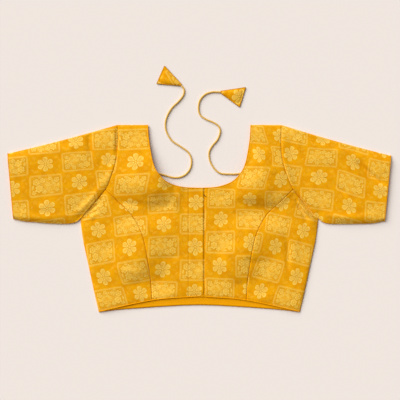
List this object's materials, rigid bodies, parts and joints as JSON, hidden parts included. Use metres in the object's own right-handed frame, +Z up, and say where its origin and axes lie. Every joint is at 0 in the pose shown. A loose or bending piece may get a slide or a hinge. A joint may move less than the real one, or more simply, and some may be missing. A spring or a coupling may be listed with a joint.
{
  "type": "choli blouse",
  "caption": "Fitted cropped choli blouse laid out flat, front up, with a princess-seamed front, a hooked placket, short sleeves and two free neck ties with cloth pendants.",
  "frame": {"origin": "on the surface that the blouse lies on, below the middle of the blouse without its ties", "axes": "+X to the right as seen from above, +Y from hem to neck, +Z up off the surface"},
  "size_m": [0.7398, 0.4747, 0.0195],
  "materials": {
    "brocade": "marigold brocade woven with pale gold thread",
    "lining": "plain marigold cloth",
    "cord": "twisted cord of marigold and gold yarn"
  },
  "bodies": {
    "root": {"back": "brocade", "back_hem_lining": "lining", "cuff_piping_left": "lining", "cuff_piping_right": "lining", "eye_placket": "brocade", "front_centre_left": "brocade", "front_centre_right": "brocade", "front_side_left": "brocade", "front_side_right": "brocade", "hem_piping_left": "lining", "hem_piping_right": "lining", "hook_placket": "brocade", "neck_piping_back": "lining", "neck_piping_left": "lining", "neck_piping_right": "lining", "pendant_left": "brocade", "pendant_right": "brocade", "sleeve_left": "brocade", "sleeve_right": "brocade", "tie_left": "cord", "tie_right": "cord"}
  },
  "joints": []
}
